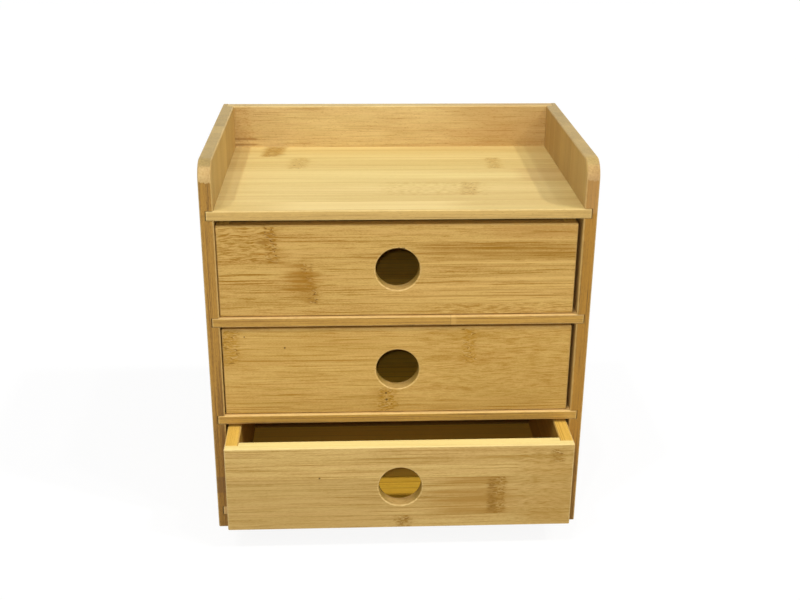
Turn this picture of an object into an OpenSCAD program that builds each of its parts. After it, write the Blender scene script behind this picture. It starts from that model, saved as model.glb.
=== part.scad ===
// Desktop mini drawers in laminated bamboo: a glued case with a galleried top
// and three loose drawers that slide on the case's own boards.
// The origin is at floor level, under the middle of the whole object as it stands
// with the bottom drawer pulled out. +X is to the right, +Y runs to the back, +Z is up.

/* [Case] */
// Width of the case over both side panels
case_w = 250; // [200:1:320]
// Depth of the case, front edges to rear edges of the side panels
case_d = 165; // [130:1:230]
// Thickness of the two side panels
side_t = 8.5; // [7.5:0.1:14]
// Thickness of the top shelf, the dividers and the bottom panel
shelf_t = 6.5; // [5:0.1:12]
// Height that the side panels stand below the bottom panel, as feet
foot_h = 10; // [4:0.5:25]
// Height of the gallery above the top shelf
gallery_h = 31; // [18:0.5:60]
// Radius of the side panels' top front corners
corner_r = 12.5; // [4:0.5:16]
// Thickness of the back rail of the gallery
rail_t = 8.8; // [5:0.1:14]
// Thickness of the thin back panel
back_t = 4; // [2:0.1:5]
// Distance from the side panels' rear edges to the back panel
back_setback = 6; // [2:0.5:12]

/* [Case joints] */
// Depth of the housings in the side panels that hold the shelf ends
housing_depth = 5.2; // [2:0.1:6]
// Open space between a shelf's end and the bottom of its housing
housing_end_gap = 0.6; // [0:0.1:1]
// Depth of the side panels' rear rabbets that hold the rail's ends
rail_let_in = 4.7; // [2:0.1:6]
// Depth of the side panels' grooves that hold the back panel
back_groove = 4; // [2:0.1:6]
// Glue line left on the hidden faces of every joint
glue_gap = 0.1; // [0.05:0.05:0.3]

/* [Drawers] */
// Height of each drawer
drawer_h = 62; // [45:1:100]
// Thickness of the drawer fronts
front_t = 9.5; // [8:0.1:14]
// Thickness of the drawers' sides and backs
wall_t = 9; // [7:0.1:12]
// Thickness of the drawer bottoms
floor_t = 3.5; // [2:0.1:5]
// Diameter of the finger holes
hole_d = 28.5; // [20:0.5:34]
// Height of the finger hole's centre above the middle of the front
hole_rise = 0.8; // [-4:0.1:4]
// How far the bottom drawer stands pulled out from its closed place
pull_out = 31.8; // [10:0.1:120]

/* [Drawer joints] */
// Wood left in front of the drawer sides where they are let into the front
front_lap = 4.7; // [3:0.1:6]
// Depth of the housings in the drawer sides that hold the back
back_let_in = 4.5; // [2:0.1:5]
// How far the drawer sides run past the back, to meet the case's back panel as stops
back_inset = 17.7; // [4:0.1:30]
// Depth of the groove round the drawer that holds its bottom
floor_groove = 4; // [2:0.1:5]
// Height of that groove above the drawer's underside
floor_rise = 5; // [3:0.5:10]
// Open space between the drawer bottom's edges and the bottom of the groove
floor_end_gap = 0.5; // [0:0.1:1]

/* [Running clearances] */
// Space beside a drawer that stands in the middle of its bay
side_gap = 1.5; // [1.4:0.1:4]
// How far the top drawer lies left of the middle of its bay
top_left_shift = 1.2; // [0:0.1:1.2]
// How far the middle drawer lies left of the middle of its bay
middle_left_shift = 0.9; // [0:0.1:1.2]
// Space under a drawer
under_gap = 0.3; // [0.2:0.1:1]
// Space over the two lower drawers
over_gap = 2.2; // [1:0.1:5]
// Space over the top drawer
top_over_gap = 3.7; // [1:0.1:6]
// How far a closed drawer's face lies behind the case's front edges
closed_recess = 1.8; // [0:0.1:8]
// Space behind a closed drawer
rear_gap = 0.5; // [0.3:0.1:3]

/* [Edges] */
// Width of the eased arrises on the edges that hands meet
arris = 0.7; // [0.2:0.1:1]

/* [Hidden] */
$fn = 96;

// How far a cutter runs past the face that it cuts
over = 1;

// Levels of the case, from the floor up
bay_h = under_gap + drawer_h + over_gap;
top_bay_h = under_gap + drawer_h + top_over_gap;
bottom_bay_z = foot_h + shelf_t;
lower_divider_z = bottom_bay_z + bay_h;
middle_bay_z = lower_divider_z + shelf_t;
upper_divider_z = middle_bay_z + bay_h;
top_bay_z = upper_divider_z + shelf_t;
top_shelf_z = top_bay_z + top_bay_h;
tray_z = top_shelf_z + shelf_t;
case_h = tray_z + gallery_h;

// Widths and depths of the case
inner_w = case_w - 2 * side_t;
shelf_w = inner_w + 2 * (housing_depth - housing_end_gap);
bay_d = case_d - back_setback - back_t;
case_front_y = (pull_out - closed_recess - case_d) / 2;

// The drawers
drawer_w = inner_w - 2 * side_gap;
drawer_l = bay_d - closed_recess - rear_gap;
box_inner_w = drawer_w - 2 * wall_t;
wall_l = drawer_l - front_lap;
drawer_back_y = drawer_l - back_inset - wall_t;
closed_y = case_front_y + closed_recess;

// Colours of the bamboo
case_colour = [0.80, 0.62, 0.34];
shelf_colour = [0.91, 0.79, 0.50];
edge_colour = [0.84, 0.70, 0.43];
front_colour = [0.82, 0.67, 0.40];
wall_colour = [0.88, 0.70, 0.36];
floor_colour = [0.85, 0.68, 0.33];

// ---- Shapes shared by the boards ----

// Extrudes an outline drawn in (y, z) along x, centred on x = 0
module along_x(length) {
    translate([-length / 2, 0, 0])
        rotate([90, 0, 90])
            linear_extrude(length)
                children();
}

// Extrudes an outline drawn in (x, z) along +y
module along_y(length) {
    rotate([90, 0, 0])
        translate([0, 0, -length])
            linear_extrude(length)
                children();
}

// The square section that takes an arris off when it is centred on an edge
module arris_section() {
    rotate(45)
        square(arris * sqrt(2), center = true);
}

// A rectangle with eased corners; a corner is named by its side: 0 is low, 1 is high
module eased_rectangle(width, height, corners) {
    difference() {
        square([width, height]);
        for (corner = corners)
            translate([corner.x * width, corner.y * height])
                arris_section();
    }
}

// A case board that lies across the case with its front edge eased above and below
module cross_board(depth) {
    along_x(shelf_w)
        eased_rectangle(depth, shelf_t, [[0, 0], [0, 1]]);
}

// ---- Case ----

// Outline of a side panel in (y, z) with its top front corner rounded and its foot eased
module side_outline() {
    eased_rectangle(case_d, case_h - corner_r, [[0, 0], [1, 0]]);
    translate([corner_r, 0])
        square([case_d - corner_r, case_h]);
    translate([corner_r, case_h - corner_r])
        circle(corner_r);
}

// The cutter that eases one face's edge under the foot, up the front and along the top
module side_arris() {
    along_y(case_d)
        arris_section();
    linear_extrude(case_h - corner_r)
        arris_section();
    translate([0, corner_r, case_h])
        along_y(case_d - corner_r)
            arris_section();
    translate([0, corner_r, case_h - corner_r])
        rotate([0, 90, 0])
            rotate([0, 0, 180])
                rotate_extrude(angle = 90)
                    translate([corner_r, 0])
                        arris_section();
}

// The housing for a cross board of the given depth, open at the front edge
module housing(z, depth) {
    translate([-over, -over, z])
        cube([over + housing_depth, over + depth, shelf_t + glue_gap]);
}

// A left side panel with its front edge on y = 0 and its inner face on x = 0
module side_panel() {
    color(case_colour)
    difference() {
        translate([-side_t / 2, 0, 0])
            along_x(side_t)
                side_outline();
        side_arris();
        translate([-side_t, 0, 0])
            side_arris();
        mirror([1, 0, 0]) {
            housing(foot_h, bay_d);
            housing(lower_divider_z, bay_d);
            housing(upper_divider_z, bay_d);
            housing(top_shelf_z, case_d + over);
            // Groove for the back panel, run in from below as far as the top shelf
            translate([-over, bay_d, -over])
                cube([over + back_groove, back_t + glue_gap, over + top_shelf_z]);
            // Rabbet for the end of the back rail
            translate([-over, case_d - rail_t - glue_gap, tray_z])
                cube([over + rail_let_in, rail_t + glue_gap + over, gallery_h + over]);
        }
    }
}

module left_side_panel() {
    translate([-inner_w / 2, case_front_y, 0])
        side_panel();
}

module right_side_panel() {
    mirror([1, 0, 0])
        left_side_panel();
}

module top_shelf() {
    color(shelf_colour)
    translate([0, case_front_y, top_shelf_z])
        cross_board(case_d);
}

// A board between two bays, which ends where the back panel begins
module bay_board(z) {
    color(edge_colour)
    translate([0, case_front_y, z])
        cross_board(bay_d);
}

module upper_divider() {
    bay_board(upper_divider_z);
}

module lower_divider() {
    bay_board(lower_divider_z);
}

module bottom_panel() {
    bay_board(foot_h);
}

// The rail stands on the top shelf, let into both side panels from behind
module back_rail() {
    rail_w = inner_w + 2 * (rail_let_in - glue_gap);
    color(case_colour)
    translate([0, case_front_y + case_d - rail_t, tray_z])
        along_x(rail_w)
            eased_rectangle(rail_t, gallery_h, [[0, 1], [1, 1]]);
}

// The back panel stands in the side panels' grooves, behind all the bays
module back_panel() {
    panel_w = inner_w + 2 * (back_groove - glue_gap);
    panel_h = top_shelf_z - foot_h - glue_gap;
    color(floor_colour)
    translate([-panel_w / 2, case_front_y + bay_d, foot_h])
        cube([panel_w, back_t, panel_h]);
}

// ---- Drawer ----
// A drawer's own origin is the middle of its front face's lower edge.

// The groove for the drawer bottom, cut along x into the face that looks along -y
module floor_slot(length) {
    translate([-length / 2, -over, floor_rise])
        cube([length, over + floor_groove, floor_t + glue_gap]);
}

// A finger hole through the drawer front with both rims eased
module finger_hole() {
    rim_r = hole_d / 2 + arris + over;
    rotate([-90, 0, 0]) {
        translate([0, 0, -over])
            cylinder(d = hole_d, h = front_t + 2 * over);
        translate([0, 0, -over])
            cylinder(r1 = rim_r, r2 = hole_d / 2, h = arris + over);
        translate([0, 0, front_t - arris])
            cylinder(r1 = hole_d / 2, r2 = rim_r, h = arris + over);
    }
}

// The rabbet behind the front board's left end, where the drawer side is let in
module end_rabbet() {
    translate([-drawer_w / 2 - over, front_lap, -over])
        cube([over + wall_t + glue_gap, front_t - front_lap + over, drawer_h + 2 * over]);
}

// The front board, rabbeted for the sides, grooved for the bottom and bored for a finger
module drawer_front() {
    color(front_colour)
    difference() {
        intersection() {
            along_x(drawer_w)
                eased_rectangle(front_t, drawer_h, [[0, 0], [0, 1], [1, 1]]);
            translate([-drawer_w / 2, 0, 0])
                linear_extrude(drawer_h)
                    eased_rectangle(drawer_w, front_t, [[0, 0], [1, 0]]);
            translate([-drawer_w / 2, 0, 0])
                along_y(front_t)
                    eased_rectangle(drawer_w, drawer_h, [[0, 0], [1, 0], [0, 1], [1, 1]]);
        }
        end_rabbet();
        mirror([1, 0, 0])
            end_rabbet();
        translate([0, front_t, 0])
            mirror([0, 1, 0])
                floor_slot(box_inner_w + 2 * floor_groove);
        translate([0, 0, drawer_h / 2 + hole_rise])
            finger_hole();
    }
}

// The left side, from the front's rabbet to the rear end, housed for the back
module drawer_side() {
    color(wall_colour)
    translate([-drawer_w / 2, 0, 0])
        difference() {
            translate([0, front_lap, 0])
                along_y(wall_l)
                    eased_rectangle(wall_t, drawer_h, [[0, 1], [1, 1]]);
            // Groove for the bottom, stopped at the back
            translate([wall_t - floor_groove, 0, floor_rise])
                cube([floor_groove + over, drawer_back_y + wall_t, floor_t + glue_gap]);
            // Housing for the back's end, run from edge to edge
            translate([wall_t - back_let_in, drawer_back_y, -over])
                cube([back_let_in + over, wall_t + glue_gap, drawer_h + 2 * over]);
        }
}

// The back board, housed in both drawer sides
module drawer_back() {
    back_w = box_inner_w + 2 * (back_let_in - glue_gap);
    color(wall_colour)
    translate([0, drawer_back_y, 0])
        difference() {
            along_x(back_w)
                eased_rectangle(wall_t, drawer_h, [[0, 1], [1, 1]]);
            floor_slot(back_w + 2 * over);
        }
}

// The thin bottom, held in the groove on all four sides
module drawer_bottom() {
    reach = floor_groove - floor_end_gap;
    floor_w = box_inner_w + 2 * reach;
    floor_l = drawer_back_y - front_t + 2 * reach;
    color(floor_colour)
    translate([-floor_w / 2, front_t - reach, floor_rise])
        cube([floor_w, floor_l, floor_t]);
}

// ---- Places of the three drawers ----

module in_top_bay() {
    translate([-top_left_shift, closed_y, top_bay_z + under_gap])
        children();
}

module in_middle_bay() {
    translate([-middle_left_shift, closed_y, middle_bay_z + under_gap])
        children();
}

module in_bottom_bay() {
    translate([0, closed_y - pull_out, bottom_bay_z + under_gap])
        children();
}

module drawer_right_side() {
    mirror([1, 0, 0])
        drawer_side();
}

left_side_panel();
right_side_panel();
top_shelf();
upper_divider();
lower_divider();
bottom_panel();
back_rail();
back_panel();
in_top_bay() drawer_front();  // top_drawer_front
in_top_bay() drawer_side();  // top_drawer_left_side
in_top_bay() drawer_right_side();  // top_drawer_right_side
in_top_bay() drawer_back();  // top_drawer_back
in_top_bay() drawer_bottom();  // top_drawer_bottom
in_middle_bay() drawer_front();  // middle_drawer_front
in_middle_bay() drawer_side();  // middle_drawer_left_side
in_middle_bay() drawer_right_side();  // middle_drawer_right_side
in_middle_bay() drawer_back();  // middle_drawer_back
in_middle_bay() drawer_bottom();  // middle_drawer_bottom
in_bottom_bay() drawer_front();  // bottom_drawer_front
in_bottom_bay() drawer_side();  // bottom_drawer_left_side
in_bottom_bay() drawer_right_side();  // bottom_drawer_right_side
in_bottom_bay() drawer_back();  // bottom_drawer_back
in_bottom_bay() drawer_bottom();  // bottom_drawer_bottom
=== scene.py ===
from functools import reduce
from math import cos, pi, radians, sin
from typing import NamedTuple

import bpy
from mathutils import Matrix, Vector


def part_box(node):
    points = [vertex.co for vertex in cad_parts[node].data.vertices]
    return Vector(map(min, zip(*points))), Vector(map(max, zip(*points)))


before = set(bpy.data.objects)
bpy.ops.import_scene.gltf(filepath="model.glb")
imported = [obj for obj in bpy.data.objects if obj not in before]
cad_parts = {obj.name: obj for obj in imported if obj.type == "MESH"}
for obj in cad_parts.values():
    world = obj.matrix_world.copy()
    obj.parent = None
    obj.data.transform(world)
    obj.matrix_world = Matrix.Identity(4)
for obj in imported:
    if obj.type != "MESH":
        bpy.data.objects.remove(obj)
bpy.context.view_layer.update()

# Looks of a small three-drawer case in laminated bamboo with a galleried top.
# Boards keep the solids they were packed with; each gets a bamboo of its own here.
# Inside the bamboos all lengths are millimetres.

MM = 1000  # millimetres in a metre, the unit of the frame


# ---- Colours ----

def paint(code):
    """A colour written as a six-figure code, made linear for the shaders by the sRGB curve."""
    parts = [int(code[place:place + 2], 16) / 255 for place in (0, 2, 4)]
    linear = [p / 12.92 if p <= 0.04045 else ((p + 0.055) / 1.055) ** 2.4 for p in parts]
    return (*linear, 1.0)


def paints(codes):
    return [paint(code) for code in codes]


def grey(level):
    return (level, level, level, 1.0)


# ---- Wiring of shader trees ----

MIX_FIRST, MIX_SECOND, MIX_RESULT = 6, 7, 2  # where a mix node has its sockets for colours


class Noise(NamedTuple):
    """A noise of the figure: its waves per mm along, across and through a board, its detail and
    roughness, and the values between which its spots fade in."""
    waves: tuple
    detail: float = 2.0
    roughness: float = 0.5
    seen: tuple = None


class Wiring:
    """Adds nodes to one shader tree and joins them; a value is a number, a vector or an output."""

    def __init__(self, tree):
        self.tree = tree

    def add(self, kind, *values, **settings):
        """A new node with these settings; the values feed its first inputs in order."""
        made = self.tree.nodes.new(kind)
        for name, value in settings.items():
            setattr(made, name, value)
        for socket, value in zip(made.inputs, values):
            self.feed(socket, value)
        return made

    def feed(self, socket, value):
        if isinstance(value, bpy.types.NodeSocket):
            self.tree.links.new(value, socket)
        else:
            socket.default_value = value

    def give(self, node, **values):
        """Feeds inputs by name; an underscore stands for a space in the socket's label."""
        for name, value in values.items():
            self.feed(node.inputs[name.replace("_", " ")], value)
        return node.outputs

    def group(self, tree, **values):
        return self.give(self.add("ShaderNodeGroup", node_tree=tree), **values)

    def math(self, operation, *values):
        return self.add("ShaderNodeMath", *values, operation=operation).outputs[0]

    def plus(self, *values):
        return reduce(lambda first, second: self.math("ADD", first, second), values)

    def times(self, *values):
        return reduce(lambda first, second: self.math("MULTIPLY", first, second), values)

    def largest(self, *values):
        return reduce(lambda first, second: self.math("MAXIMUM", first, second), values)

    def less(self, first, second):
        return self.math("SUBTRACT", first, second)

    def size(self, value):
        """A number without its sign."""
        return self.math("ABSOLUTE", value)

    def vector_math(self, operation, *values):
        return self.add("ShaderNodeVectorMath", *values, operation=operation).outputs["Vector"]

    def measure(self, operation, *values):
        """The number that DISTANCE or DOT_PRODUCT finds from two vectors."""
        return self.add("ShaderNodeVectorMath", *values, operation=operation).outputs["Value"]

    def ramp(self, value, low, high, start=0.0, end=1.0):
        """Goes smoothly from start to end while value goes from low to high."""
        return self.add("ShaderNodeMapRange", value, low, high, start, end,
                        interpolation_type="SMOOTHSTEP").outputs["Result"]

    def fall(self, value, low, high, start=1.0):
        """Goes smoothly from start to 0 while value goes from low to high."""
        return self.ramp(value, low, high, start, 0.0)

    def within(self, value, first, last, soft):
        """Two shares; their product is 1 from first to last and fades over soft beside them."""
        return (self.ramp(value, self.less(first, soft), first),
                self.fall(value, last, self.plus(last, soft)))

    def parts(self, vector):
        return self.add("ShaderNodeSeparateXYZ", vector).outputs

    def point(self, x, y, z):
        return self.add("ShaderNodeCombineXYZ", x, y, z).outputs[0]

    def noise(self, vector, noise):
        """The noise at a place, around 0, about -0.3 to 0.3."""
        made = self.add("ShaderNodeTexNoise", self.vector_math("MULTIPLY", vector, noise.waves),
                        noise_dimensions="3D")
        return self.less(self.give(made, Scale=1.0, Detail=noise.detail,
                                   Roughness=noise.roughness)["Fac"], 0.5)

    def spots(self, vector, noise, start=0.0, end=1.0):
        """Start where the noise is low, end where it is high."""
        return self.ramp(self.noise(vector, noise), *noise.seen, start, end)

    def blend(self, share, first, second, blend_type="MIX"):
        made = self.add("ShaderNodeMix", share, data_type="RGBA", blend_type=blend_type)
        self.feed(made.inputs[MIX_FIRST], first)
        self.feed(made.inputs[MIX_SECOND], second)
        return made.outputs[MIX_RESULT]


SOCKETS = {"number": "NodeSocketFloat", "vector": "NodeSocketVector"}


def new_group(name, inputs, outputs):
    """An empty node group that is given the Position and the named inputs, and gives the named
    outputs: numbers, or a vector where a label ends with Position. Returns its tree and wiring,
    its inputs and the sockets of its output node."""
    tree = bpy.data.node_groups.new(name, "ShaderNodeTree")
    tree.interface.new_socket("Position", in_out="INPUT", socket_type=SOCKETS["vector"])
    for label, value in inputs:
        kind = "vector" if isinstance(value, tuple) else "number"
        socket = tree.interface.new_socket(label, in_out="INPUT", socket_type=SOCKETS[kind])
        socket.default_value = value
    for label in outputs:
        kind = "vector" if label.endswith("Position") else "number"
        tree.interface.new_socket(label, in_out="OUTPUT", socket_type=SOCKETS[kind])
    wiring = Wiring(tree)
    return tree, wiring, wiring.add("NodeGroupInput").outputs, wiring.add("NodeGroupOutput").inputs


# ---- Effects that the bamboos share ----
# Position is along the grain, across the strips from the board's first edge, and depth, in mm.

STRIP_APART = (900.0, 0.0, 300.0)  # how far apart the strips take their grain, at most
GLUE_LINE = (0.1, 0.5)             # beside a joint: full glue, and none


def make_strips():
    """The laminated strips side by side: their tone, their glue joints and their own grain."""
    tree, w, given, out = new_group(
        "bamboo strips", [("Strip Width", 20.0), ("First Joint", 10.0), ("Seed", 0.0)],
        ["Own Position", "Tone", "Joint", "Chance"])
    across = w.parts(given["Position"])[1]
    count = w.math("DIVIDE", w.less(across, given["First Joint"]), given["Strip Width"])
    number = w.math("FLOOR", count)
    share = w.less(count, number)
    near = w.times(w.math("MINIMUM", share, w.less(1.0, share)), given["Strip Width"])
    lot = w.add("ShaderNodeTexWhiteNoise", w.point(number, given["Seed"], 0.0),
                noise_dimensions="2D").outputs
    away = w.vector_math("MULTIPLY", lot["Color"], STRIP_APART)
    w.feed(out["Own Position"], w.vector_math("ADD", given["Position"], away))
    w.feed(out["Tone"], w.less(lot["Value"], 0.5))
    w.feed(out["Joint"], w.fall(near, *GLUE_LINE))
    w.feed(out["Chance"], w.parts(lot["Color"])[1])
    return tree


# Bends of the grain and how far they move it across: the sway in mm, the two of a swirl in
# lengths of its curl
SWAY, SWAY_REACH = Noise((0.007, 0.02, 0.03), 1.0), 2.0
BEND, BEND_REACH = Noise((0.03, 0.06, 0.05), 1.0), 1.3
RIPPLE, RIPPLE_REACH = Noise((0.09, 0.17, 0.05), 1.0), 0.45
# Lines of the grain, and how much each kind adds to their darkness
BROAD_LINES, BROAD_SHARE = Noise((0.006, 0.3, 0.3), 1.0), 0.6
THIN_LINES, THIN_SHARE = Noise((0.008, 1.2, 1.2), 1.0, seen=(0.04, 0.21)), 0.65
LONG_DASHES, DASH_SHARE = Noise((0.03, 1.6, 1.6), 1.0, seen=(0.06, 0.22)), 0.4
FINE_LINES, FINE_SHARE = Noise((0.03, 2.6, 2.6), 1.0), 0.5
SHORT_DASHES = Noise((1.0, 1.1, 1.1), 1.5, 0.55, (-0.14, 0.22))  # along in dashes, not mm
LINES_LEVEL = -0.16                    # brings their mean near 0
FIBRES_SEEN = Noise((0.36, 3.0, 3.0), 2.0, 0.6)
CLOUDS_SEEN = Noise((0.006, 0.08, 0.08), 1.5)
PORES_SEEN = Noise((0.42, 1.5, 1.5), 1.0, seen=(0.1, 0.18))
WARMTH_SEEN = Noise((0.009, 0.33, 0.33), 1.5, seen=(-0.12, 0.14))


def make_fibres():
    """Dark lines, fine fibres, pores and soft clouds along the grain. Swirl bends the lines and
    breaks them into short dashes."""
    tree, w, given, out = new_group(
        "bamboo fibres",
        [("Swirl", 0.0), ("Curl", 5.0), ("Reach", 1.0), ("Dash", 10.0), ("Force", 0.6)],
        ["Lines", "Fibres", "Clouds", "Pores", "Warmth"])
    along, across, depth = w.parts(given["Position"])
    swirl = given["Swirl"]
    sway = w.times(w.noise(given["Position"], SWAY), SWAY_REACH)
    bend = w.plus(w.times(w.noise(given["Position"], BEND), BEND_REACH),
                  w.times(w.noise(given["Position"], RIPPLE), RIPPLE_REACH))
    bent_across = w.plus(across, sway, w.times(bend, given["Curl"], swirl))
    bent = w.point(w.math("DIVIDE", along, given["Reach"]), bent_across, depth)
    knots = w.point(w.math("DIVIDE", along, given["Dash"]), w.parts(bent)[1], depth)
    straight = w.plus(w.times(w.spots(bent, THIN_LINES), THIN_SHARE),
                      w.times(w.spots(bent, LONG_DASHES), DASH_SHARE))
    mixed = w.plus(w.times(straight, w.less(1.0, swirl)),
                   w.times(w.spots(knots, SHORT_DASHES), swirl, given["Force"]))
    w.feed(out["Lines"], w.plus(w.times(w.noise(bent, BROAD_LINES), BROAD_SHARE), mixed,
                                w.times(w.noise(bent, FINE_LINES), FINE_SHARE), LINES_LEVEL))
    w.feed(out["Fibres"], w.noise(bent, FIBRES_SEEN))
    w.feed(out["Clouds"], w.noise(bent, CLOUDS_SEEN))
    w.feed(out["Pores"], w.spots(given["Position"], PORES_SEEN))
    w.feed(out["Warmth"], w.spots(bent, WARMTH_SEEN))
    return tree


KNUCKLE_SOFT = 0.3                     # fade of a knuckle where its strip ends
ROW_OF_SPINE, ROW_OF_TAIL = 7.0, 31.0  # two rows of noise, so that they don't follow each other
WANDER, WANDER_REACH = Noise((0.37, 0.12, 1.0), 1.0), 4.0
JOG, JOG_REACH = Noise((0.37, 0.75, 1.0), 1.0), 3.0
RAGGED, RAGGED_REACH = Noise((0.37, 1.1, 1.0), 1.0), 7.0
BAND_EDGES, SPINE_EDGES = (0.5, 1.1), (0.4, 1.2)  # in widths of the knuckle
MOTTLE, MOTTLE_SHARE, PLAIN_SHARE = Noise((0.35, 1.1, 0.8), 2.0, 0.6, (-0.06, 0.1)), 1.2, 0.15
# Pits lie where the noise of the folds is near 0, flecks beside them, both broken by gaps
FOLDS = Noise((0.13, 0.5, 0.4), 1.0)
GAPS = Noise((0.24, 0.5, 0.7), 1.0)
CREASE, PITS_BETWEEN_GAPS = (0.005, 0.035), (-0.1, 0.04)
BESIDE_CREASE, BESIDE, FLECKS_BETWEEN_GAPS = 0.065, (0.01, 0.045), (-0.06, 0.08)
TAIL_ROWS = Noise((0.4, 0.33, 1.0), 1.0, seen=(-0.16, 0.16))
TAIL_SHORTEST, TAIL_LONGEST = 0.35, 1.3
TAIL_STREAKS, TAIL_PALEST = Noise((0.012, 0.7, 0.5), 2.0, seen=(-0.1, 0.12)), 0.3
TAIL_START = 0.04                      # in lengths of the tail
SWIRL_PAST_KNUCKLE, KNUCKLE_SWIRL = 7.0, 0.8


def make_knuckle():
    """One knuckle of the cane across a strip: a band of short dashes, a spine of dark pits and
    pale flecks, and a tail of brown streaks on one side."""
    tree, w, given, out = new_group(
        "bamboo knuckle",
        [("Centre", 0.0), ("From", 0.0), ("To", 20.0), ("Width", 3.0), ("Lean", 0.0),
         ("Tail", 12.0), ("Stain", 0.6), ("Mottle", 0.4)],
        ["Tint", "Pits", "Flecks", "Swirl"])
    along, across, _ = w.parts(given["Position"])
    width = given["Width"]
    inside = w.times(*w.within(across, given["From"], given["To"], KNUCKLE_SOFT))
    row = w.point(given["Centre"], across, ROW_OF_SPINE)
    wander = w.plus(w.times(w.noise(row, WANDER), WANDER_REACH),
                    w.times(w.noise(row, JOG), JOG_REACH))
    height = w.math("DIVIDE", w.less(across, given["From"]), w.less(given["To"], given["From"]))
    lean = w.times(w.less(height, 0.5), given["Lean"])
    off = w.less(w.less(along, given["Centre"]), w.plus(lean, wander))
    apart = w.size(off)
    ragged = w.plus(apart, w.times(w.noise(row, RAGGED), RAGGED_REACH))

    # The band, and the tail that runs out of it
    band = w.fall(ragged, *(w.times(width, part) for part in BAND_EDGES))
    mottle = w.spots(given["Position"], MOTTLE)
    tint = w.times(band, w.plus(PLAIN_SHARE, w.times(mottle, given["Mottle"], MOTTLE_SHARE)))
    side = w.math("DIVIDE", off, given["Tail"])
    row_reach = w.spots(w.point(given["Centre"], across, ROW_OF_TAIL), TAIL_ROWS,
                        TAIL_SHORTEST, TAIL_LONGEST)
    fade = w.fall(w.math("DIVIDE", side, row_reach), 0.0, 1.0)
    streaks = w.spots(given["Position"], TAIL_STREAKS, TAIL_PALEST)
    tail = w.times(w.ramp(side, -TAIL_START, TAIL_START), fade, streaks, given["Stain"])
    w.feed(out["Tint"], w.times(w.largest(tint, tail), inside))

    # Dark pits in the creases of the spine, and pale flecks beside them
    spine = w.fall(ragged, *(w.times(width, part) for part in SPINE_EDGES))
    fold = w.noise(given["Position"], FOLDS)
    gaps = w.noise(given["Position"], GAPS)
    crease = w.fall(w.size(fold), *CREASE)
    beside = w.fall(w.size(w.less(fold, BESIDE_CREASE)), *BESIDE)
    w.feed(out["Pits"], w.times(spine, crease, w.ramp(gaps, *PITS_BETWEEN_GAPS), inside))
    w.feed(out["Flecks"], w.times(spine, beside, w.ramp(gaps, *FLECKS_BETWEEN_GAPS), inside))
    swirl = w.fall(apart, 0.0, w.plus(width, SWIRL_PAST_KNUCKLE), KNUCKLE_SWIRL)
    w.feed(out["Swirl"], w.times(swirl, inside))
    return tree


PATCH_ROW = 0.37      # tells the uneven ends of two patches apart
PATCH_UNEVEN = 2.0    # how far the ends of its rows move, in fades
PATCH_ENDS = Noise((0.0, 0.5, PATCH_ROW), 1.0)
PATCH_STREAKS = Noise((0.015, 0.6, 0.5), 1.5, seen=(-0.12, 0.08))


def make_patch():
    """A patch of a board with soft ends and sides, whole or broken into streaks."""
    tree, w, given, out = new_group(
        "patch of figure",
        [("Left", 0.0), ("Right", 0.0), ("From", 0.0), ("To", 20.0), ("Fade", 12.0),
         ("Soft", 0.5), ("Streaks", 0.0)],
        ["Share"])
    along, across, _ = w.parts(given["Position"])
    ends = w.noise(w.point(0.0, across, given["Left"]), PATCH_ENDS)
    moved = w.plus(along, w.times(ends, given["Fade"], PATCH_UNEVEN))
    share = w.times(*w.within(moved, given["Left"], given["Right"], given["Fade"]),
                    *w.within(across, given["From"], given["To"], given["Soft"]))
    grained = w.spots(given["Position"], PATCH_STREAKS)
    broken = w.plus(w.less(1.0, given["Streaks"]), w.times(grained, given["Streaks"]))
    w.feed(out["Share"], w.times(share, broken))
    return tree


WEAR, WEAR_REACH = Noise((0.22, 0.22, 0.22), 3.0), 1.4
WORN_FROM_ARRIS = (0.2, 1.2)       # full, none


def make_worn_edges():
    """Where a board's own edges are near: handled arrises are a little paler."""
    tree, w, given, out = new_group(
        "worn edges", [("Middle", (0, 0, 0)), ("Half Size", (10, 10, 10))], ["Worn"])
    from_middle = w.vector_math("ABSOLUTE",
                                w.vector_math("SUBTRACT", given["Position"], given["Middle"]))
    a, b, c = w.parts(w.vector_math("SUBTRACT", given["Half Size"], from_middle))
    nearer = w.math("MINIMUM", a, b)
    farther = w.math("MAXIMUM", a, b)
    second = w.math("MAXIMUM", nearer, w.math("MINIMUM", farther, c))
    rough = w.times(w.noise(given["Position"], WEAR), WEAR_REACH)
    w.feed(out["Worn"], w.fall(w.plus(second, rough), *WORN_FROM_ARRIS))
    return tree


FLAT = (1.0, 1.0, 0.0)             # leaves a place's depth out
WALL_FROM_RADIUS = (0.05, 0.2)     # past the radius: wall, no more wall
WALL_SIDES = (5.0, 13.5)           # beside the hole's middle: none, full
RIM_FROM_RADIUS, RIM_SOFT = (0.1, 0.3), 0.5
RIM_BREAKS, RIM_FAINTEST = Noise((0.35, 0.6, 0.5), 2.0, seen=(-0.15, 0.1)), 0.35
TORN_PLACE = (40.0, 0.0, 0.0)      # where the noise has fitting tears
TORN = Noise((0.2, 0.25, 1.0), 2.0, 0.6, (0.03, 0.05))
TORN_REACH, TORN_EDGE = 5.0, (-0.25, 0.15)
CHIPS_ABOVE_MIDDLE = (9.0, 12.0)


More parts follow.
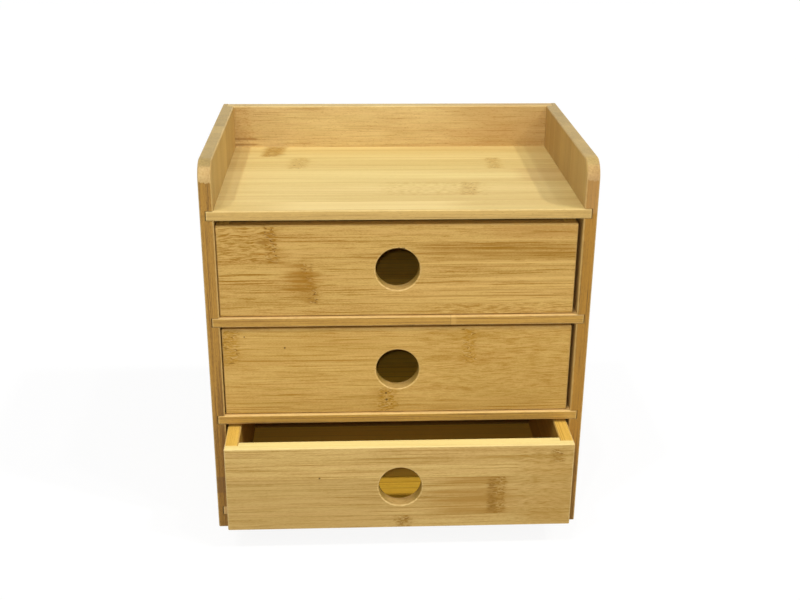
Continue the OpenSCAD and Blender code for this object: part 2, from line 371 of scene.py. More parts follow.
def make_bored_hole():
    """The cut wall of a bored hole, which is deeper at its sides, a painted highlight on its eased
    rim and the small chips along the top of that rim."""
    tree, w, given, out = new_group(
        "bored hole", [("Centre", (0, 0, 0)), ("Radius", 14.0), ("Ease", 0.7)],
        ["Wall", "Wall Sides", "Rim", "Chips"])
    flat = w.vector_math("MULTIPLY", given["Position"], FLAT)
    past = w.less(w.measure("DISTANCE", flat, given["Centre"]), given["Radius"])
    wall = w.fall(past, *WALL_FROM_RADIUS)
    sideways = w.size(w.less(w.parts(given["Position"])[0], w.parts(given["Centre"])[0]))
    w.feed(out["Wall"], wall)
    w.feed(out["Wall Sides"], w.times(wall, w.ramp(sideways, *WALL_SIDES)))
    rim = w.ramp(past, *RIM_FROM_RADIUS)
    w.feed(out["Rim"], w.times(rim, w.fall(past, given["Ease"], w.plus(given["Ease"], RIM_SOFT)),
                               w.spots(given["Position"], RIM_BREAKS, RIM_FAINTEST)))
    torn = w.noise(w.vector_math("ADD", flat, TORN_PLACE), TORN)
    deep_tears = w.largest(w.less(torn, TORN.seen[0]), 0.0)
    reach = w.plus(given["Ease"], w.times(deep_tears, TORN_REACH))
    above = w.less(w.parts(given["Centre"])[1], w.parts(given["Position"])[1])
    w.feed(out["Chips"], w.times(w.fall(w.less(past, reach), *TORN_EDGE),
                                 w.ramp(above, *CHIPS_ABOVE_MIDDLE), rim,
                                 w.ramp(torn, *TORN.seen)))
    return tree


STRIPS = make_strips()
FIBRES = make_fibres()
KNUCKLE = make_knuckle()
PATCH = make_patch()
WORN_EDGES = make_worn_edges()
BORED_HOLE = make_bored_hole()


# ---- The bamboos ----

AXES = {"+x": Vector((1, 0, 0)), "-x": Vector((-1, 0, 0)), "+y": Vector((0, 1, 0)),
        "-y": Vector((0, -1, 0)), "+z": Vector((0, 0, 1)), "-z": Vector((0, 0, -1))}
FACING = (0.6, 0.8)                    # how squarely a face looks along an axis: no, yes

# The order of the numbers in a knuckle, and in a swirl or a stain
KNUCKLE_VALUES = ("Centre", "From", "To", "Width", "Lean", "Tail", "Stain", "Mottle")
PATCH_VALUES = ("Left", "Right", "From", "To", "Fade", "Soft", "Streaks")
CHANCE_KNUCKLE = (0.0, -50.0, 900.0, 3.0, 0.0, 18.0, 0.5, 0.5)  # across the whole board
FAR_OFF = 900.0                        # past any board's end

BASE_DEEPNESS, FACE_DEEPNESS = 0.36, 0.45
WARM_TINT, WARM_SHARE = (1.0, 0.93, 0.97, 1.0), 0.4
PITS_SHARE, FLECKS_SHARE = 0.9, 0.38
FLECK_WHITE, WHITE_IN_FLECKS = paint("fff0c0"), 0.2
SPECKLE, SPECKLE_SHARE = Noise((0.55, 0.8, 0.8), 2.0, 0.65), 1.5
CLOUDS_ON_ENDS = 0.8
EDGE_REACH = (1.0, 1.6)                # from the edge of a board: full, none
LINES_ON_EDGE, FIBRES_ON_EDGE, PORES_ON_EDGE = 1.1, 0.9, 0.25
# Fade of the painted shadow at the foot of the side panels' front edges
FOOT_FADE = 14.0
CORNER_RAGGED, CORNER_RAGGED_REACH = Noise((0.0, 0.0, 0.45)), 5.0
CORNER_BEFORE, CORNER_AFTER = 0.6, 0.3
# Painted shade multiplied onto the inner faces of the drawer boards, where little light reaches
INSIDE_PAINTED_SHADE = (0.6, 0.49, 0.33, 1.0)
WORN_COLOUR, WORN_SHARE = paint("f0d490"), 0.22
WALL_COLOUR, WALL_SHARE = paint("b8965a"), 0.55
WALL_SIDE_SHADE = (0.76, 0.76, 0.5, 1.0)
# Painted highlight on the eased rim of the finger holes
RIM_PAINTED_HIGHLIGHT, RIM_HIGHLIGHT_SHARE = paint("ecd090"), 0.3
CHIP_COLOUR = paint("1c0e02")
DOT_COLOUR, DOT_SHARE, DOT_CORE = paint("3a1e00"), 0.75, 0.4

ROUGHNESS, ROUGHNESS_OF_LINES, ROUGHNESS_OF_FIBRES = 0.5, 0.08, -0.12
RELIEF_OF_FIBRES, RELIEF_OF_LINES, RELIEF_OF_JOINTS, DEPTH_OF_PITS = -0.5, -0.15, -0.25, 0.12
BUMP_STRENGTH, BUMP_METRES = 0.3, 0.0002
SPECULAR, COAT, COAT_ROUGHNESS = 0.22, 0.03, 0.35


def named(labels, values):
    """Values by the names of the sockets that they feed."""
    return dict(zip(labels, values))


class Board:
    """A board whose bamboo is being made: its directions and half sizes, the wiring of its
    material, the place of its points and the colour they have so far."""

    def __init__(self, name, grain, across):
        low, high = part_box(name)
        middle = (low + high) / 2 * MM
        half = (high - low) / 2 * MM
        self.run, self.over = AXES[grain], AXES[across]
        self.through = self.run.cross(self.over)
        self.half_run, self.half_over, self.half_through = (
            abs(half.dot(axis)) for axis in (self.run, self.over, self.through))
        turn = Matrix((self.run, self.over, self.through))
        start = middle - self.over * self.half_over
        self.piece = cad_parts[name]
        self.material = bpy.data.materials.new(name + " bamboo")
        self.material.use_nodes = True
        self.material.node_tree.nodes.clear()
        self.w = Wiring(self.material.node_tree)
        place = self.w.add("ShaderNodeTexCoord").outputs
        mapping = self.w.add("ShaderNodeMapping", place["Object"], vector_type="POINT")
        self.position = self.w.give(mapping, Location=-(turn @ start),
                                    Rotation=turn.to_euler("XYZ"), Scale=(MM, MM, MM))["Vector"]
        self.normal = place["Normal"]
        self.facing = self.w.vector_math("ABSOLUTE", self.normal)
        self.colour = None

    def lay(self, share, tint, blend_type="MIX"):
        """Lays a tint over the colour, as much as share says."""
        self.colour = self.w.blend(share, self.colour, tint, blend_type)

    def faces(self, axis):
        """1 on the two faces that look along an axis."""
        return self.w.ramp(self.w.measure("DOT_PRODUCT", self.facing, [abs(p) for p in axis]),
                           *FACING)

    def face(self, direction):
        """1 on the one face that looks in a direction."""
        return self.w.ramp(self.w.measure("DOT_PRODUCT", self.normal, direction), *FACING)

    def finish(self, figure, relief):
        """Ends the shader and puts the material on the board."""
        w = self.w
        roughness = w.plus(ROUGHNESS, w.times(figure["Lines"], ROUGHNESS_OF_LINES),
                           w.times(figure["Fibres"], ROUGHNESS_OF_FIBRES))
        bump = w.give(w.add("ShaderNodeBump"), Strength=BUMP_STRENGTH, Distance=BUMP_METRES,
                      Height=relief)
        shader = w.give(w.add("ShaderNodeBsdfPrincipled"), Base_Color=self.colour,
                        Roughness=roughness, Specular_IOR_Level=SPECULAR, Coat_Weight=COAT,
                        Coat_Roughness=COAT_ROUGHNESS, Normal=bump["Normal"])
        w.add("ShaderNodeOutputMaterial", shader[0])
        for slot in self.piece.material_slots:
            slot.material = self.material
        if not self.piece.material_slots:
            self.piece.data.materials.append(self.material)


def bamboo(name, grain, across, tones, *, pits="7a500c", strip=20.0, joint=10.0, glue=0.22,
           seed=0.0, tone=0.25, lines=1.0, reach=1.0, pores=0.15, clouds=0.5, curl=5.0,
           dash=10.0, force=0.6, knuckles=(), chance_knuckles=0.0, knuckle_face=0.0, swirls=(),
           stains=(), edge=None, foot_shadow=(0.0, 0.0), end=None, corner=None, inside=None, dots=(),
           hole=None):
    """The bamboo of one board.

    grain and across name the directions of the fibres and across the strips; across starts at
    the board's first edge. Places are given along from the board's middle and across from its
    first edge.

    tones: its pale, deep and knuckle colours; pits: the colour of the pits in its knuckles
    strip: the width of its strips; joint: where one of their joints is
    glue: how dark the joints are; tone: how much the strips differ; seed: which strips they are
    lines, pores, clouds: how strong these are; reach: how many times longer the lines are
    curl: how far a swirl bends the lines; dash, force: the length and strength of its dashes
    knuckles: (centre, from, to, width, lean, tail, stain, mottle) of each
    chance_knuckles: the length of board for one knuckle by chance on each strip
    knuckle_face: the side of the board that has them, 1 or -1, or 0 for both
    swirls: (left, right, from, to, fade, soft) of each
    stains: (left, right, from, to, fade, soft, streaks, strength, colour) of each
    edge: the pale and deep colour of the board's narrow long faces
    foot_shadow: the place along below which these faces carry a painted shadow, and how deep it is
    end: the pale and deep colour of its end grain
    corner: the place along where a rounded corner starts, its pale and its deep colour
    inside: the direction in which a drawer board's inner face looks, which gets painted shade
    dots: (along, across, size) of each small dark speck
    hole: (along, across, radius, chips), chips being how dark the chips at its rim are
    """
    board = Board(name, grain, across)
    w, position = board.w, board.position
    along, down, depth = w.parts(position)
    strips = w.group(STRIPS, Position=position, Strip_Width=strip, First_Joint=joint, Seed=seed)

    # Knuckles that are placed, and one by chance on each strip of the other boards
    found = [w.group(KNUCKLE, Position=position, **named(KNUCKLE_VALUES, knuckle))
             for knuckle in knuckles]
    if chance_knuckles:
        moved = w.plus(along, w.times(strips["Chance"], chance_knuckles))
        turns = w.math("FRACT", w.math("DIVIDE", moved, chance_knuckles))
        wrapped = w.times(w.less(turns, 0.5), chance_knuckles)
        if knuckle_face:
            wrapped = w.plus(wrapped, w.fall(w.times(depth, knuckle_face), 0.0, 1.0, FAR_OFF))
        found.append(w.group(KNUCKLE, Position=w.point(wrapped, down, depth),
                             **named(KNUCKLE_VALUES, CHANCE_KNUCKLE)))
    swirl = [knuckle["Swirl"] for knuckle in found]
    swirl += [w.group(PATCH, Position=position, **named(PATCH_VALUES, patch))["Share"]
              for patch in swirls]
    figure = w.group(FIBRES, Position=strips["Own Position"], Curl=curl, Reach=reach, Dash=dash,
                     Force=force, Swirl=w.largest(*swirl) if swirl else 0.0)
    own_tone = w.times(strips["Tone"], tone)

    # How deep the colour is at each point
    deepness = w.plus(BASE_DEEPNESS, w.times(figure["Lines"], lines),
                      w.times(figure["Fibres"], lines), w.times(figure["Pores"], pores),
                      w.times(figure["Clouds"], clouds), own_tone)
    pale, deep, brown = paints(tones)
    board.colour = w.blend(w.add("ShaderNodeClamp", deepness).outputs[0], pale, deep)
    board.lay(w.times(figure["Warmth"], WARM_SHARE), WARM_TINT, "MULTIPLY")
    relief = w.plus(w.times(figure["Fibres"], RELIEF_OF_FIBRES),
                    w.times(figure["Lines"], RELIEF_OF_LINES),
                    w.times(strips["Joint"], RELIEF_OF_JOINTS))
    if found:
        tint, dark, flecks = (w.largest(*(knuckle[label] for knuckle in found))
                              for label in ("Tint", "Pits", "Flecks"))
        board.lay(tint, brown)
        board.lay(w.times(dark, PITS_SHARE), paint(pits))
        board.lay(w.times(flecks, FLECKS_SHARE), w.blend(WHITE_IN_FLECKS, pale, FLECK_WHITE))
        relief = w.less(relief, w.times(dark, DEPTH_OF_PITS))
    board.lay(w.times(strips["Joint"], glue), brown)

    # Narrow faces with a painted shadow at their foot, end grain, the rounded corner and the
    # painted shade on the inner face of a drawer's board
    speckle = w.times(w.noise(position, SPECKLE), SPECKLE_SHARE)
    speckled = w.plus(FACE_DEEPNESS, speckle, w.times(figure["Clouds"], CLOUDS_ON_ENDS), own_tone)
    if edge:
        from_edge = w.less(board.half_over, w.size(w.less(down, board.half_over)))
        foot_place, foot_shade = foot_shadow
        # painted shadow that darkens the narrow faces below the foot place
        shade = w.fall(along, foot_place - FOOT_FADE, foot_place + FOOT_FADE, foot_shade)
        edge_deepness = w.plus(FACE_DEEPNESS, shade, w.times(figure["Lines"], LINES_ON_EDGE),
                               w.times(figure["Fibres"], FIBRES_ON_EDGE),
                               w.times(figure["Pores"], PORES_ON_EDGE), own_tone)
        board.lay(w.times(board.faces(board.over), w.fall(from_edge, *EDGE_REACH)),
                  w.blend(edge_deepness, *paints(edge)))
    if end:
        board.lay(board.faces(board.run), w.blend(speckled, *paints(end)))
    if corner:
        corner_start, *corner_codes = corner
        ragged = w.plus(along, w.times(w.noise(position, CORNER_RAGGED), CORNER_RAGGED_REACH))
        from_here = w.ramp(ragged, corner_start - CORNER_BEFORE, corner_start + CORNER_AFTER)
        narrow = w.times(from_here, w.less(1.0, board.faces(board.through)),
                         w.less(1.0, board.faces(board.run)))
        board.lay(narrow, w.blend(speckled, *paints(corner_codes)))
    if inside:
        # painted shade on the inner face of a drawer's board
        board.lay(board.face(AXES[inside]), INSIDE_PAINTED_SHADE, "MULTIPLY")

    # Stains, handled arrises, the finger hole with a painted highlight on its rim, and specks
    for stain in stains:
        *_, strength, code = stain
        stained = w.group(PATCH, Position=position, **named(PATCH_VALUES, stain))
        board.lay(w.times(stained["Share"], strength), paint(code))
    worn = w.group(WORN_EDGES, Position=position, Middle=(0.0, board.half_over, 0.0),
                   Half_Size=(board.half_run, board.half_over, board.half_through))
    board.lay(w.times(worn["Worn"], WORN_SHARE), WORN_COLOUR)
    if hole:
        hole_along, hole_down, radius, chips = hole
        bored = w.group(BORED_HOLE, Position=position, Centre=(hole_along, hole_down, 0.0),
                        Radius=radius)
        board.lay(w.times(bored["Wall"], WALL_SHARE), WALL_COLOUR)
        board.lay(bored["Wall Sides"], WALL_SIDE_SHADE, "MULTIPLY")
        # painted highlight on the rim
        board.lay(w.times(bored["Rim"], RIM_HIGHLIGHT_SHARE), RIM_PAINTED_HIGHLIGHT)
        board.lay(w.times(bored["Chips"], chips), CHIP_COLOUR)
    for dot_along, dot_down, size in dots:
        off = w.measure("DISTANCE", w.vector_math("MULTIPLY", position, FLAT),
                        (dot_along, dot_down, 0.0))
        board.lay(w.fall(off, DOT_CORE * size, size, DOT_SHARE), DOT_COLOUR)
    board.finish(figure, relief)


# ---- Drawer fronts ----

# Lit and shaded copies of the fronts' edge colour: painted light on the open bottom front's edges,
# painted shade on the closed fronts' edges in the gaps under the shelf and dividers
EDGE_PAINTED_LIT = ("ecd890", "dcc47c")
EDGE_SHADED = ("d0a658", "a47a34")
HOLE_DOWN, HOLE_RADIUS = 30.2, 14.25
LINE_BROWN, LINE_PALE, BAND_BROWN = "8e6101", "dcb468", "976500"  # on the top front
TAIL_BROWN, FRONT_TAN, FRONT_SHADE = "8e6312", "a37a31", "88682c"  # on the bottom front


def front(drawer, tones, chips=0.0, **figure):
    """A drawer's front: fibres run along x, strips are counted from the top edge down."""
    bamboo(drawer + "_front", "+x", "-z", tones, hole=(0.0, HOLE_DOWN, HOLE_RADIUS, chips),
           **figure)


front("top_drawer", ("c49f56", "956a15", "926300"), chips=0.8, strip=28.3, joint=25.5,
      pits="5a3806", seed=1.0, lines=1.35, reach=0.5, curl=5.5, dash=7.0, force=0.65,
      edge=EDGE_SHADED,
      knuckles=[(-80.2, 0.5, 25.3, 4.0, 1.0, 18.0, 0.35, 0.6),
                (-56.5, 25.9, 53.6, 4.0, 5.0, -20.0, 0.7, 0.45)],
      swirls=[(-120.0, -84.0, 0.0, 23.0, 6.0, 3.0), (32.0, 106.0, 54.6, 62.0, 10.0, 1.0)],
      stains=[(-87.0, -84.0, 10.5, 11.7, 4.0, 1.5, 0.0, 0.75, "8a5d01"),
              (-88.0, -82.0, 18.3, 19.3, 8.0, 1.0, 0.3, 0.5, "97670d"),
              (-64.0, -58.5, 31.8, 37.8, 13.0, 1.5, 0.35, 0.75, BAND_BROWN),
              (-64.0, -58.5, 38.3, 44.3, 10.0, 1.2, 0.5, 0.6, BAND_BROWN),
              (-66.0, -58.0, 33.9, 34.9, 14.0, 0.5, 0.0, 0.6, LINE_BROWN),
              (-66.0, -58.0, 42.7, 43.7, 12.0, 0.5, 0.0, 0.6, LINE_BROWN),
              (66.0, 100.0, 21.3, 22.9, 24.0, 0.6, 0.5, 0.6, LINE_BROWN),
              (74.0, 116.0, 2.0, 8.0, 20.0, 2.5, 0.5, 0.4, "a2702c"),
              (30.0, 116.0, 11.0, 24.0, 26.0, 2.0, 0.7, 0.36, LINE_BROWN),
              (10.0, 112.0, 44.0, 62.0, 30.0, 8.0, 0.4, 0.17, LINE_PALE),
              (-10.0, 112.0, 19.2, 20.2, 26.0, 0.4, 0.5, 0.55, LINE_BROWN),
              (24.0, 116.0, 13.6, 14.4, 26.0, 0.4, 0.6, 0.5, LINE_BROWN),
              (30.0, 116.0, 34.2, 35.0, 26.0, 0.4, 0.6, 0.45, LINE_BROWN),
              (30.0, 116.0, 44.6, 45.3, 26.0, 0.4, 0.6, 0.4, LINE_BROWN),
              (30.0, 116.0, 16.4, 17.1, 26.0, 0.4, 0.4, 0.5, LINE_BROWN),
              (24.0, 116.0, 28.2, 28.8, 26.0, 0.4, 0.4, 0.45, LINE_BROWN),
              (20.0, 116.0, 39.0, 39.5, 26.0, 0.4, 0.4, 0.4, LINE_BROWN),
              (-10.0, 114.0, 48.6, 49.3, 26.0, 0.4, 0.4, 0.45, LINE_BROWN),
              (24.0, 116.0, 10.2, 11.2, 26.0, 0.5, 0.3, 0.35, LINE_PALE),
              (24.0, 116.0, 25.0, 26.2, 26.0, 0.5, 0.3, 0.35, LINE_PALE),
              (24.0, 116.0, 36.6, 37.8, 26.0, 0.5, 0.3, 0.35, LINE_PALE),
              (20.0, 116.0, 41.8, 42.8, 26.0, 0.5, 0.3, 0.35, LINE_PALE),
              (-22.0, -16.0, 21.5, 22.9, 14.0, 0.6, 0.4, 0.5, LINE_BROWN),
              (20.0, 36.0, 15.3, 16.5, 18.0, 0.5, 0.4, 0.5, LINE_BROWN)])
front("middle_drawer", ("c9a459", "a37827", "a6791f"), strip=28.0, joint=26.3, pits="80580f",
      seed=2.0, lines=1.1, reach=0.5, curl=2.8, dash=9.0, force=0.5, edge=EDGE_SHADED,
      knuckles=[(-110.0, 0.5, 25.8, 7.0, 0.0, 9.0, 0.4, 0.6),
                (47.3, 0.5, 26.1, 5.0, 2.0, -18.0, 0.5, 0.7),
                (-6.5, 43.8, 61.0, 7.0, 1.0, -12.0, 0.4, 0.8)],
      swirls=[(22.0, 114.0, 4.0, 48.0, 12.0, 8.0)],
      stains=[(50.0, 120.0, 32.0, 62.0, 30.0, 8.0, 0.3, 0.14, "96701a")],
      dots=[(-74.2, 13.5, 0.9), (-100.3, 5.4, 0.7), (-7.6, 47.7, 1.0), (-7.2, 52.7, 1.1)])
front("bottom_drawer", ("c7a764", "9d7933", "896212"), strip=28.4, joint=23.6, seed=3.0,
      lines=1.2, reach=0.9, curl=4.0, dash=7.0, force=0.5, edge=EDGE_PAINTED_LIT,
      knuckles=[(64.3, 23.8, 51.8, 7.0, 0.0, -16.0, 0.3, 1.0),
                (1.5, 52.4, 61.5, 6.0, 0.0, -8.0, 0.4, 0.6),
                (104.0, 4.0, 13.0, 4.0, 3.0, -8.0, 0.5, 0.5)],
      swirls=[(84.0, 114.0, 6.0, 56.0, 12.0, 6.0)],
      stains=[(-120.0, 120.0, 24.0, 70.0, 8.0, 0.4, 0.1, 0.16, FRONT_SHADE),
              (-120.0, -30.0, 24.0, 70.0, 50.0, 0.4, 0.1, 0.14, FRONT_SHADE),
              (62.0, 106.0, 7.8, 9.4, 24.0, 0.6, 0.5, 0.5, "97701f"),
              (40.0, 60.0, 24.0, 28.0, 26.0, 1.2, 0.6, 0.6, TAIL_BROWN),
              (44.0, 60.0, 34.0, 42.0, 30.0, 2.5, 0.5, 0.6, TAIL_BROWN),
              (40.0, 60.0, 48.0, 51.8, 26.0, 1.2, 0.6, 0.55, TAIL_BROWN),
              (44.0, 58.0, 26.0, 50.0, 30.0, 3.0, 0.3, 0.3, FRONT_TAN),
              (60.0, 62.5, 25.5, 50.5, 3.0, 1.5, 0.8, 0.45, "7c5610"),
              (96.0, 112.0, 14.0, 56.0, 20.0, 8.0, 0.3, 0.35, FRONT_TAN)],
      dots=[(-53.3, 22.8, 0.9)])


# ---- Case ----

DIVIDER_TONES = ("dbb873", "ac8246", "9b733e")
# Painted shadows of the gallery walls on the shelf, and painted shade at the back of the shelf and
# along the foot of the rail
SHELF_PAINTED_SHADOW, PAINTED_SHADE_BROWN = "a87030", "a87c38"
RAIL_LINE, FILLER_RIM = "8e6024", "7a5520"
ROUNDED_FROM = 118.5
SIDE_PANEL = {"strip": 20.0, "joint": 15.0, "lines": 0.45, "tone": 0.45,
              "chance_knuckles": 420.0}

bamboo("top_shelf", "+x", "+y", ("e2cb85", "c1a058", "b48c40"), pits="94702e", strip=31.3,
       joint=0.5, seed=4.0, lines=0.6, reach=1.5, tone=0.35, clouds=1.1, curl=3.5, dash=4.0,
       force=0.9, edge=("c9a65f", "9e7c42"), glue=0.12,
       knuckles=[(-87.0, 129.0, 156.0, 8.0, 6.0, 9.0, 0.3, 1.0),
                 (-67.5, 97.0, 124.0, 7.0, 4.0, -6.0, 0.15, 0.28),
                 (72.0, 95.0, 123.0, 5.0, 2.0, -6.0, 0.2, 0.45),
                 (48.0, 32.0, 60.0, 7.0, 4.0, -6.0, 0.2, 0.4)],
       swirls=[(-92.0, -80.0, 129.0, 156.0, 3.0, 2.0), (-73.0, -62.0, 97.0, 124.0, 3.0, 2.0),
               (68.0, 77.0, 95.0, 123.0, 3.0, 2.0), (-2.0, 53.0, 33.0, 60.0, 14.0, 3.0)],
       stains=[(-91.0, -83.0, 134.0, 153.0, 6.0, 4.0, 0.6, 0.6, "98702a"),
               # Painted shade at the back, painted shadows of the left and right walls, and
               # painted shade in the back right corner
               (-130.0, 130.0, 135.0, 175.0, 10.0, 14.0, 0.0, 0.16, "b08c44"),
               (-130.0, -105.5, 24.0, 175.0, 1.5, 6.0, 0.2, 0.14, SHELF_PAINTED_SHADOW),
               (-130.0, -105.5, 100.0, 175.0, 1.5, 30.0, 0.2, 0.12, SHELF_PAINTED_SHADOW),
               (94.0, 130.0, 63.4, 94.2, 14.0, 0.6, 0.0, 0.28, SHELF_PAINTED_SHADOW),
               (101.0, 130.0, 96.0, 150.0, 1.5, 30.0, 0.2, 0.1, SHELF_PAINTED_SHADOW),
               (30.0, 130.0, 147.0, 175.0, 40.0, 3.0, 0.0, 0.12, PAINTED_SHADE_BROWN),
               (-60.0, 20.0, 3.4, 17.0, 34.0, 2.4, 0.0, 0.45, "f3da96")])
bamboo("upper_divider", "+x", "+y", DIVIDER_TONES, strip=20.0, joint=8.0, seed=5.0, lines=0.9,
       edge=("bd9242", "8d672d"),
       stains=[(33.4, 37.3, -1.0, 1.6, 0.3, 0.5, 0.0, 0.28, "d8ae60"),
               (33.4, 33.7, -1.0, 1.6, 0.3, 0.5, 0.0, 0.5, FILLER_RIM),
               (37.0, 37.3, -1.0, 1.6, 0.3, 0.5, 0.0, 0.2, FILLER_RIM)])
bamboo("lower_divider", "+x", "+y", DIVIDER_TONES, strip=20.0, joint=4.0, seed=6.0, lines=0.9,
       edge=("c49945", "916b34"))
bamboo("bottom_panel", "+x", "+y", ("d3ac68", "a57b43", "916c3b"), strip=20.0, joint=11.0,
       seed=7.0, edge=("b48f53", "86613c"), chance_knuckles=240.0,
       stains=[(-122.0, -117.0, -1.0, 1.6, 1.0, 0.5, 0.0, 0.6, "cba568")])
# foot_shadow paints the shade that the pulled-out bottom drawer casts on the panels' front edges
bamboo("left_side_panel", "+z", "+y", ("c6a65f", "a38043", "896837"), **SIDE_PANEL, seed=8.0,
       edge=("ba8b39", "7a5725"), foot_shadow=(-48.0, 0.2), end=("bb9e5f", "907948"),
       corner=(ROUNDED_FROM, "cfb174", "b28e55"), knuckle_face=1.0,
       stains=[(-102.6, -91.4, -1.0, 1.6, 1.5, 0.5, 0.4, 0.55, "674a2f")])
bamboo("right_side_panel", "+z", "+y", ("c5a45f", "a37f46", "896839"), **SIDE_PANEL, seed=9.0,
       edge=("a7782a", "72521f"), foot_shadow=(-70.0, 0.4), end=("bea061", "937b49"),
       corner=(ROUNDED_FROM, "c19e61", "936b3a"), knuckle_face=-1.0,
       stains=[(99.0, 122.0, -1.0, 1.6, 3.0, 0.5, 0.2, 0.3, "bd9566")])
bamboo("back_rail", "+x", "-z", ("e1c684", "b99555", "9f713d"), strip=40.0, joint=36.0,
       seed=10.0, lines=0.6, reach=0.3, pores=0.3, clouds=1.0, dash=3.0, curl=3.0,
       edge=("dbc384", "b49455"), swirls=[(-116.0, -105.0, 0.0, 31.0, 5.0, 1.0)],
       stains=[(-117.0, -107.0, 1.0, 22.0, 4.0, 2.0, 0.8, 0.2, "b07e38"),
               (-118.0, -103.0, 24.0, 25.2, 5.0, 0.6, 0.2, 0.7, RAIL_LINE),
               (-118.0, -104.0, 28.4, 29.4, 5.0, 0.5, 0.2, 0.6, RAIL_LINE),
               # painted shade toward the right end, and painted shade along the foot of the rail
               (70.0, 116.0, -1.0, 33.0, 60.0, 1.0, 0.2, 0.3, "ac7634"),
               (-50.0, 110.0, 30.2, 31.5, 8.0, 0.4, 0.3, 0.45, PAINTED_SHADE_BROWN)])
bamboo("back_panel", "+x", "-z", ("dbb468", "b48a46", "916a3b"), strip=25.0, joint=12.0,
       seed=11.0, chance_knuckles=230.0)


# ---- Drawer boxes ----

SIDE_TONES = ("e4c268", "bc9240", "946a28")
BACK_TONES = ("ecca6c", "c49c44", "946a28")
BOX_EDGE = ("dfb654", "bb8f39")
BOX_END = ("dbbb7e", "ac8959")
BOX_STRIP, BACK_JOINT = 21.0, 17.0
# A painted shadow along the foot of each drawer back, where it meets the floor
BACK_FOOT_PAINTED_SHADOW = (-120.0, 120.0, 49.0, 54.0, 4.0, 1.0, 0.0, 0.6, "2c1602")
FLOOR_STRIP, FLOOR_JOINT, FLOOR_PAINTED_LIGHT = 7.5, 0.1, "e9b94b"
# Drawer, first seed of its boards, tones of its floor, and the share of painted light on the
# floor's rear part in the case's shade; the closed drawers' floor tones are painted lighter to
# stand in for the light that reaches inside them
BOXES = (("top_drawer", 20.0, ("e9b94a", "c28f30", "966622"), 0.0),
         ("middle_drawer", 30.0, ("dfad38", "b28020", "865610"), 0.3),
         ("bottom_drawer", 40.0, ("d3aa3a", "a67912", "7b4f08"), 0.6))

for drawer, seed, floor_tones, painted_light_share in BOXES:
    for side, joint, inwards in (("_left_side", 14.0, "+x"), ("_right_side", 9.0, "-x")):
        bamboo(drawer + side, "+y", "-z", SIDE_TONES, strip=BOX_STRIP, joint=joint,
               seed=seed + joint, edge=BOX_EDGE, end=BOX_END, inside=inwards)
    bamboo(drawer + "_back", "+x", "-z", BACK_TONES, strip=BOX_STRIP, joint=BACK_JOINT,
           seed=seed + 2, lines=0.5, edge=BOX_EDGE, inside="-y", stains=[BACK_FOOT_PAINTED_SHADOW])
    bamboo(drawer + "_bottom", "+x", "+y", floor_tones, strip=FLOOR_STRIP, joint=FLOOR_JOINT,
           seed=seed + 3, lines=0.8, tone=0.3, glue=0.6, reach=1.5,
           stains=[(-120.0, 120.0, 49.0, 200.0, 4.0, 5.0, 0.0, painted_light_share, FLOOR_PAINTED_LIGHT)])


# ---- Camera ----

CAMERA_PLACE = Vector((-0.03189, -0.73492, 0.44540))
CAMERA_YAW, CAMERA_PITCH, CAMERA_ROLL = radians(2.7617), radians(22.3864), radians(-0.4536)
LENS_MM, SENSOR_MM = 50.303, 36.0
NEAREST_SEEN = 0.01


def camera_directions():
    """Right, up and ahead of the camera, which looks down on the case from a little left."""
    ahead = Vector((sin(CAMERA_YAW) * cos(CAMERA_PITCH), cos(CAMERA_YAW) * cos(CAMERA_PITCH),
                    -sin(CAMERA_PITCH)))
    right = Vector((cos(CAMERA_YAW), -sin(CAMERA_YAW), 0.0))
    down = -right.cross(ahead)
    rolled_right = cos(CAMERA_ROLL) * right + sin(CAMERA_ROLL) * down
    rolled_down = cos(CAMERA_ROLL) * down - sin(CAMERA_ROLL) * right
    return rolled_right, -rolled_down, ahead


def place_in_scene(name, data):
    placed = bpy.data.objects.new(name, data)
    bpy.context.scene.collection.objects.link(placed)
    return placed


def set_camera():
    right, up, ahead = camera_directions()
    data = bpy.data.cameras.new("camera")
    data.sensor_fit = "HORIZONTAL"
    data.sensor_width = SENSOR_MM
    data.lens = LENS_MM
    data.clip_start = NEAREST_SEEN
    camera = place_in_scene("camera", data)
    turn = Matrix((right, up, -ahead)).transposed().to_4x4()
    camera.matrix_world = Matrix.Translation(CAMERA_PLACE) @ turn
    bpy.context.scene.camera = camera


# ---- Light and floor ----

# Far lamps: the direction in which each stands, what it lays on a white surface that faces it,
# and how wide it looks in degrees
FAR_LAMPS = (("low lamp right", (0.77, -0.35, 1.0), 0.305, 3),
             ("high lamp right", (0.50, -0.35, 1.0), 0.126, 3),
             ("low lamp left", (-0.36, -0.35, 1.0), 0.187, 1.6),
             ("high lamp left", (-0.16, -0.35, 1.0), 0.148, 1.6))
# The small lamp beside the camera: its offset to the right and up, the distance at which it
# lays its strength on a white surface, and its radius
NEAR_LAMP_RIGHT, NEAR_LAMP_UP = -0.011, 0.015
NEAR_LAMP_STRENGTH, NEAR_LAMP_DISTANCE, NEAR_LAMP_RADIUS = 0.17, 0.71, 0.004

# The room is brighter in front of the case and above it than behind
BRIGHT_SIDE = Vector((0.0, -0.85, 0.55)).normalized()
ROOM_FROM, ROOM_TO, ROOM_DARKEST, ROOM_BRIGHTEST = 0.1, 0.95, 0.2, 0.83

FLOOR_HALF = 14.0
FLOOR_SPECKS = Noise((60.0, 60.0, 60.0), 3.0)  # waves per metre, as the floor has no mm
FLOOR_LIT = (grey(0.63), grey(0.67))
FLOOR_SHOWN = (grey(0.93), grey(0.97))
FLOOR_GLOW = 0.9


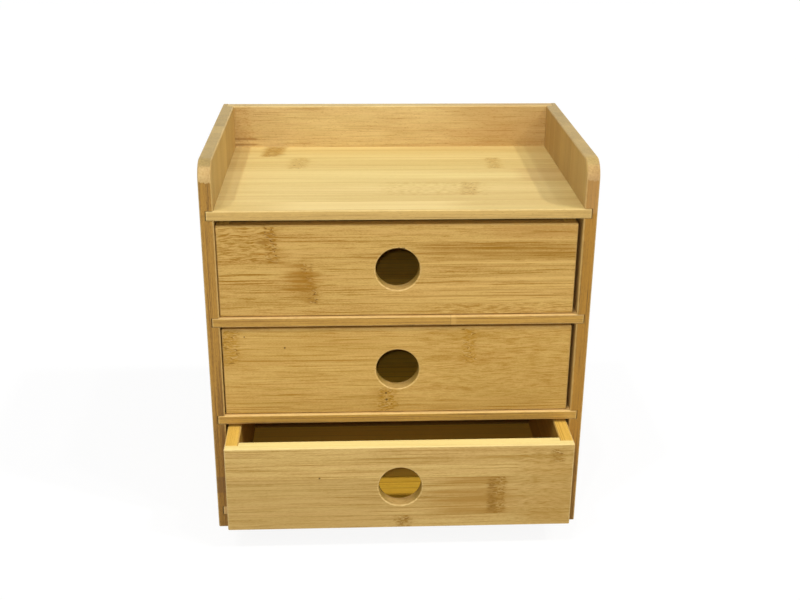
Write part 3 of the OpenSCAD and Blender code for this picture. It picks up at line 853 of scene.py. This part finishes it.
def far_lamp(name, towards, strength, angle):
    """A far soft lamp that lays its strength on a white surface that faces it."""
    data = bpy.data.lights.new(name, "SUN")
    data.energy = strength * pi
    data.angle = radians(angle)
    lamp = place_in_scene(name, data)
    lamp.rotation_euler = Vector(towards).to_track_quat("Z", "Y").to_euler()


def near_lamp(name, place, strength, distance, radius):
    """A small lamp that lays its strength on a white surface at the distance."""
    data = bpy.data.lights.new(name, "POINT")
    data.energy = strength * 4 * pi ** 2 * distance ** 2
    data.shadow_soft_size = radius
    lamp = place_in_scene(name, data)
    lamp.location = place


def shown_directly(w):
    """1 where the camera sees a surface, straight or in another one, and 0 where the surface
    only lights others."""
    seen = w.add("ShaderNodeLightPath").outputs
    return w.largest(seen["Is Camera Ray"], seen["Is Glossy Ray"], seen["Is Transmission Ray"])


def set_light():
    for name, towards, strength, angle in FAR_LAMPS:
        far_lamp(name, towards, strength, angle)
    right, up, _ = camera_directions()
    near_lamp("lamp beside the camera",
              CAMERA_PLACE + NEAR_LAMP_RIGHT * right + NEAR_LAMP_UP * up,
              NEAR_LAMP_STRENGTH, NEAR_LAMP_DISTANCE, NEAR_LAMP_RADIUS)
    world = bpy.data.worlds.new("studio")
    bpy.context.scene.world = world
    world.use_nodes = True
    world.node_tree.nodes.clear()
    w = Wiring(world.node_tree)
    around = w.add("ShaderNodeTexCoord").outputs["Generated"]
    towards = w.measure("DOT_PRODUCT", around, BRIGHT_SIDE)
    room = w.ramp(towards, ROOM_FROM, ROOM_TO, ROOM_DARKEST, ROOM_BRIGHTEST)
    fill = w.add("ShaderNodeBackground", grey(1.0), room).outputs[0]
    white = w.add("ShaderNodeBackground", grey(1.0), 1.0).outputs[0]
    either = w.add("ShaderNodeMixShader", shown_directly(w), fill, white).outputs[0]
    w.add("ShaderNodeOutputWorld", either)


def make_floor():
    """A wide pale floor that looks white where no shadow falls on it."""
    mesh = bpy.data.meshes.new("studio_floor")
    corners = [(-FLOOR_HALF, -FLOOR_HALF, 0), (FLOOR_HALF, -FLOOR_HALF, 0),
               (FLOOR_HALF, FLOOR_HALF, 0), (-FLOOR_HALF, FLOOR_HALF, 0)]
    mesh.from_pydata(corners, [], [(0, 1, 2, 3)])
    floor = place_in_scene("studio_floor", mesh)
    made = bpy.data.materials.new("pale studio floor")
    made.use_nodes = True
    made.node_tree.nodes.clear()
    w = Wiring(made.node_tree)
    place = w.add("ShaderNodeTexCoord").outputs["Object"]
    speck = w.plus(w.noise(place, FLOOR_SPECKS), 0.5)
    direct = shown_directly(w)
    colour = w.blend(direct, w.blend(speck, *FLOOR_LIT), w.blend(speck, *FLOOR_SHOWN))
    matt = w.add("ShaderNodeBsdfDiffuse", colour).outputs[0]
    glow = w.give(w.add("ShaderNodeEmission"), Strength=1.0)[0]
    both = w.add("ShaderNodeMixShader", w.times(direct, FLOOR_GLOW), matt, glow).outputs[0]
    w.add("ShaderNodeOutputMaterial", both)
    mesh.materials.append(made)


set_camera()
set_light()
make_floor()
bpy.context.scene.view_settings.view_transform = "Standard"
